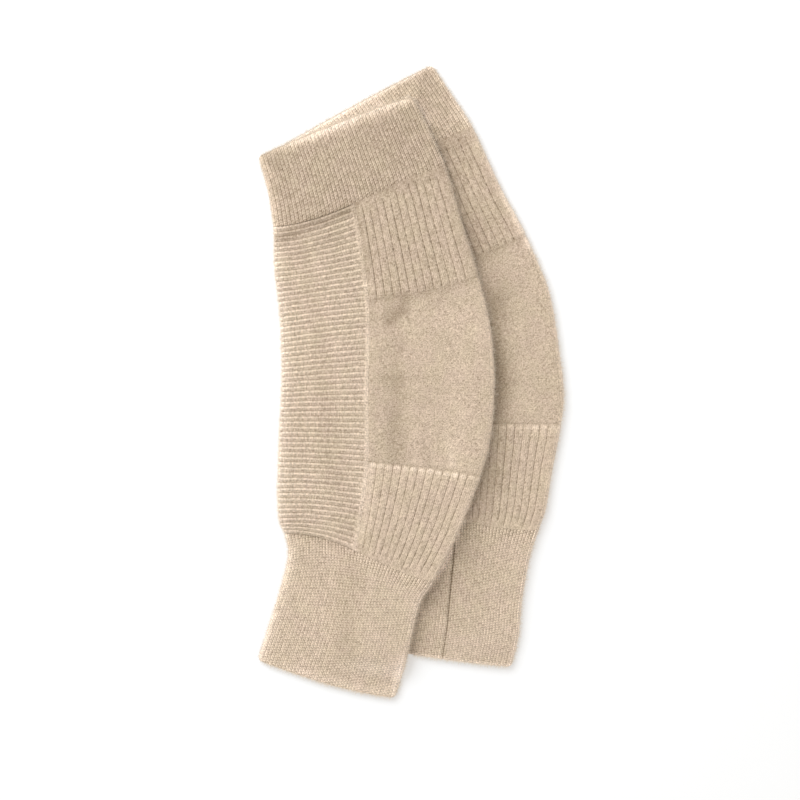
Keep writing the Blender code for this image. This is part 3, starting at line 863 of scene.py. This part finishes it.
def addNode(tree, kind, inputs=None, output=0, **settings):  # adds a node and gives one of its outputs
    node = tree.nodes.new(kind)
    for key, value in settings.items():
        setattr(node, key, value)
    for socket, value in (inputs or {}).items():
        if isinstance(value, bpy.types.NodeSocket):
            tree.links.new(value, node.inputs[socket])
        else:
            node.inputs[socket].default_value = value
    return node.outputs[output]


def material(name, settings):
    made = bpy.data.materials.new(name)
    made.use_nodes = True
    for key, value in settings.items():
        made.node_tree.nodes["Principled BSDF"].inputs[key].default_value = value
    return made


def knittedWool(name, look):
    # Soft lambswool yarn, spun woollen and knitted, then lightly felted: matt, with a pale nap that glows at
    # the folds, lighter and darker fibres in each stitch, painted shade in the hollows between the stitches,
    # and the painted light and shade of the tone attribute
    wool = material(name, {
        "Roughness": 0.92,
        "Specular IOR Level": 0.25,
        "Sheen Weight": look["nap"],
        "Sheen Roughness": 0.45,
        "Sheen Tint": colour("#FFF4E6"),
    })
    tree = wool.node_tree
    shader = tree.nodes["Principled BSDF"]
    place = addNode(tree, "ShaderNodeTexCoord", output="Object")
    knit = addNode(tree, "ShaderNodeUVMap", uv_map="knitMap")
    u = addNode(tree, "ShaderNodeSeparateXYZ", {0: knit}, output="X")  # wales
    v = addNode(tree, "ShaderNodeSeparateXYZ", {0: knit}, output="Y")  # courses

    wave = addNode(tree, "ShaderNodeMath", {0: u, 1: 0.5}, operation="PINGPONG")  # 0 between wales
    slant = addNode(tree, "ShaderNodeMath", {0: wave, 1: look["slant"], 2: v}, operation="MULTIPLY_ADD")
    turn = addNode(tree, "ShaderNodeMath", {0: u, 1: 2 * math.pi}, operation="MULTIPLY")
    leg = addNode(tree, "ShaderNodeMath", {0: turn}, operation="SINE")
    leg = addNode(tree, "ShaderNodeMath", {0: leg}, operation="ABSOLUTE")
    leg = addNode(tree, "ShaderNodeMath", {0: leg, 1: 0.6}, operation="POWER")
    turn = addNode(tree, "ShaderNodeMath", {0: slant, 1: 2 * math.pi}, operation="MULTIPLY")
    course = addNode(tree, "ShaderNodeMath", {0: turn}, operation="COSINE")
    course = addNode(tree, "ShaderNodeMath", {0: course, 1: 0.325, 2: 0.675}, operation="MULTIPLY_ADD")
    stitch = addNode(tree, "ShaderNodeMath", {0: course, 1: leg}, operation="MULTIPLY")

    legNumber = addNode(tree, "ShaderNodeMath", {0: u, 1: 2.0}, operation="MULTIPLY")
    legNumber = addNode(tree, "ShaderNodeMath", {0: legNumber}, operation="FLOOR")
    courseNumber = addNode(tree, "ShaderNodeMath", {0: slant}, operation="FLOOR")
    cell = addNode(tree, "ShaderNodeCombineXYZ", {0: legNumber, 1: courseNumber})
    perStitch = addNode(tree, "ShaderNodeTexWhiteNoise", {"Vector": cell}, noise_dimensions="3D")
    way = {"Vector": place, "Rotation": (0, 0, nap["brushed"]), "Scale": (1.5, 0.85, 1.0)}
    brushed = addNode(tree, "ShaderNodeMapping", way, vector_type="TEXTURE")
    noises = []
    for size, vector in (("fibre", place), ("fleck", brushed), ("cloud", place)):
        noise = {"Vector": vector, "Scale": 1 / (look[size] * mm), "Detail": 2.0}
        noises.append(addNode(tree, "ShaderNodeTexNoise", noise))
    fibres, flecks, clouds = noises
    clouds = addNode(tree, "ShaderNodeMapRange", {0: clouds, 1: 0.35, 2: 0.65})

    yarns = {0: clouds, 6: colour(look["warm"]), 7: colour(look["pink"])}
    base = addNode(tree, "ShaderNodeMix", yarns, output=2, data_type="RGBA")
    light = 1.0
    # the stitch pattern paints shade into the hollows between stitches; the rest is the wool's own uneven
    # tone
    for pattern, middle, amount in (
        (stitch, 0.55, look["hollows"]),
        (perStitch, 0.5, look["stitchTone"]),
        (fibres, 0.5, look["fibreTone"]),
        (flecks, 0.5, look["fleckTone"]),
    ):
        off = addNode(tree, "ShaderNodeMath", {0: pattern, 1: middle}, operation="SUBTRACT")
        light = addNode(tree, "ShaderNodeMath", {0: off, 1: amount, 2: light}, operation="MULTIPLY_ADD")
    # painted light and shade, from the tone attribute
    tone = addNode(tree, "ShaderNodeAttribute", output="Fac", attribute_name="tone")
    light = addNode(tree, "ShaderNodeMath", {0: light, 1: tone}, operation="MULTIPLY")
    channels = [light]
    for warmth in (0.06, 0.17):  # hollows and shades are warmer: they lose some green and more blue
        warm = {0: light, 1: 1 + warmth, 2: -warmth}
        channel = addNode(tree, "ShaderNodeMath", warm, operation="MULTIPLY_ADD")
        channels.append(addNode(tree, "ShaderNodeMath", {0: channel, 1: light}, operation="MINIMUM"))
    shade = addNode(tree, "ShaderNodeCombineXYZ", dict(enumerate(channels)))
    # where the painted highlights lift the tone past 1, the colour turns paler too, standing in for light
    # through raised wool
    pale = addNode(tree, "ShaderNodeMapRange", {0: tone, 1: 1.05, 2: 2.05, 4: 0.6})
    raised = {0: pale, 6: base, 7: colour("#C8BEB7")}
    base = addNode(tree, "ShaderNodeMix", raised, output=2, data_type="RGBA")
    shaded = {0: 1.0, 6: base, 7: shade}
    shaded = addNode(tree, "ShaderNodeMix", shaded, output=2, data_type="RGBA", blend_type="MULTIPLY")
    tree.links.new(shaded, shader.inputs["Base Color"])

    relief = 0.0
    for pattern, amount in ((stitch, "stitchBump"), (fibres, "fibreBump"), (flecks, "fleckBump")):
        relief = {0: pattern, 1: look[amount], 2: relief}
        relief = addNode(tree, "ShaderNodeMath", relief, operation="MULTIPLY_ADD")
    bump = addNode(tree, "ShaderNodeBump", {"Strength": 1.0, "Distance": mm, "Height": relief})
    tree.links.new(bump, shader.inputs["Normal"])
    return wool


yarn = {"warm": "#B8A893", "pink": "#B9A795", "cloud": 15.0, "fleck": 1.8, "fibre": 1.0, "nap": 0.6}
woolLooks = {
    "band": dict(yarn, slant=0.8, hollows=0.5, stitchTone=0.34, fibreTone=0.85, fleckTone=0.3,
                 fibre=0.9, stitchBump=0.4, fibreBump=0.5, fleckBump=0.1),
    "cuff": dict(yarn, slant=0.8, hollows=0.72, stitchTone=0.3, fibreTone=0.8, fleckTone=0.1,
                 fibre=0.9, stitchBump=0.35, fibreBump=0.5, fleckBump=0.1),
    "ridged_panel": dict(yarn, slant=0.5, hollows=0.3, stitchTone=0.3, fibreTone=1.1, fleckTone=0.4,
                         stitchBump=0.35, fibreBump=0.7, fleckBump=0.2),
    "thigh_rib": dict(yarn, slant=1.0, hollows=0.24, stitchTone=0.24, fibreTone=1.15, fleckTone=0.4,
                      stitchBump=0.2, fibreBump=0.6, fleckBump=0.15),
    "knee_panel": dict(yarn, slant=1.0, hollows=0.14, stitchTone=0.16, fibreTone=1.5, fleckTone=0.5,
                       stitchBump=0.12, fibreBump=0.7, fleckBump=0.1, nap=0.7),
    "calf_rib": dict(yarn, slant=1.2, hollows=0.24, stitchTone=0.22, fibreTone=1.1, fleckTone=0.4,
                     stitchBump=0.2, fibreBump=0.6, fleckBump=0.15),
}
wools = {kind: knittedWool("felted_lambswool_" + kind, look) for kind, look in woolLooks.items()}
# Loose ends of the same wool, painted paler than the yarn for the light that shines through them
fuzzLook = {"Base Color": colour("#DCD0BF"), "Roughness": 0.9, "Specular IOR Level": 0.2}
fuzz = material("raised_lambswool_fibres", fuzzLook)
print("wool ready:", len(wools), "knitted and 1 raised")

# Width and length of each piece's cut in mm, its area in square mm, and how far the top warmer covers it
cuts = {
    "top_warmer_band": (281, 60, 15460, -1.0),
    "top_warmer_ridged_panel": (140, 261, 32680, -1.0),
    "top_warmer_thigh_rib": (170, 87, 12980, -1.0),
    "top_warmer_knee_panel": (191, 150, 24260, -1.0),
    "top_warmer_calf_rib": (171, 87, 11710, -1.0),
    "top_warmer_cuff": (241, 108, 22120, -1.0),
    "under_warmer_band": (277, 56, 14310, 0.0),
    "under_warmer_ridged_panel": (138, 265, 32750, 1.0),
    "under_warmer_thigh_rib": (170, 92, 13610, 1.3),
    "under_warmer_knee_panel": (189, 144, 23380, 1.3),
    "under_warmer_calf_rib": (170, 81, 11510, 1.05),
    "under_warmer_cuff": (245, 109, 23530, 0.55),
}

table = bpy.data.objects.new("tableTop", bpy.data.meshes.new("tableTop"))
tableCorners = [(x, y, -0.0003) for x, y in ((-3, -3), (3, -3), (3, 3), (-3, 3))]
table.data.from_pydata(tableCorners, [], [(0, 1, 2, 3)])
bpy.context.scene.collection.objects.link(table)
# A matt photographer's background, lit from behind: it looks pure white, with soft and slightly warm shadows
paperLook = {
    "Base Color": colour("#B0B7BD"),
    "Roughness": 0.9,
    "Emission Color": colour("#FFF6ED"),
    "Emission Strength": 0.45,
}
table.data.materials.append(material("matt_white_paper", paperLook))

for prefix, warmer in warmers.items():
    rows = warmer["rows"]
    half = tube["seamGap"] / 2
    seams = (bandEnd, thighEnd, kneeEnd, calfEnd, hemRow)
    bandLine, thighLine, kneeLine, calfLine, hemLine = (rows[i, 0] for i in seams)
    side = half / tube["sideWidth"]
    front, back = (1 + side, 4 - side), (4 + side, 7 - side)
    ring = (1 + side, 7 - side) if warmer["seamAbove"] else (4 + side, 10 - side)
    for kind, knit, first, last, ends in (
        ("band", "fine", 0.0, bandLine - half, ring),
        ("ridged_panel", "ridged", bandLine + half, calfLine - half, back),
        ("thigh_rib", "wide", bandLine + half, thighLine - half, front),
        ("knee_panel", "plain", thighLine + half, kneeLine - half, front),
        ("calf_rib", "wide", kneeLine + half, calfLine - half, front),
        ("cuff", "fine", calfLine + half, hemLine, ring),
    ):
        node = prefix + "_" + kind
        width, length, area, covered = cuts[node]
        piece = dict(warmer=warmer, kind=kind, knit=knit, covered=covered)
        piece.update(first=first, last=last, start=ends[0], end=ends[1])
        cloth = knitPiece("knit_" + node, piece)
        cloth.data.materials.append(wools[kind])
        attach(cloth, "root")
        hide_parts(node)
        fibres = napOf("nap_" + node, piece, len(bpy.data.meshes))
        fibres.data.materials.append(fuzz)
        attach(fibres, "root")
        cloth.data.calc_loop_triangles()
        triangles = len(cloth.data.loop_triangles)
        print(node, "has", triangles, "triangles and", len(fibres.data.polygons), "in its nap")

shot = {
    "centre": (-8.25 * mm, -11.6 * mm),
    "width": 0.6,  # m that the picture shows at the table
    "lens": 100,
    "sensor": 36,
}
camera = bpy.data.objects.new("camera", bpy.data.cameras.new("camera"))
camera.data.lens = shot["lens"]
camera.data.sensor_width = shot["sensor"]
camera.location = (*shot["centre"], shot["width"] * shot["lens"] / shot["sensor"])
camera.data.clip_end = 20
bpy.context.scene.collection.objects.link(camera)
bpy.context.scene.camera = camera

studio = {
    "softbox": dict(place=(-1.0, 0.85, 1.15), size=1.5, power=46.0, tint="#FFFEFE"),
    "fill": dict(place=(0.9, -0.6, 1.2), size=1.4, power=4.0, tint="#FFF9F2"),
}
for name, lamp in studio.items():
    light = bpy.data.lights.new(name, "AREA")
    light.size, light.energy = lamp["size"], lamp["power"]
    light.color = colour(lamp["tint"])[:3]
    thing = bpy.data.objects.new(name, light)
    thing.location = lamp["place"]
    aim = -np.array(lamp["place"])  # at the middle of the table
    tilt, heading = math.acos(-aim[2] / np.linalg.norm(aim)), math.atan2(aim[1], aim[0])
    thing.rotation_euler = (tilt, 0, heading - math.pi / 2)
    bpy.context.scene.collection.objects.link(thing)
world = bpy.data.worlds.new("studio")
bpy.context.scene.world = world
world.use_nodes = True
world.node_tree.nodes["Background"].inputs["Color"].default_value = colour("#FFFCF8")
world.node_tree.nodes["Background"].inputs["Strength"].default_value = 0.56
bpy.context.scene.view_settings.view_transform = "Standard"
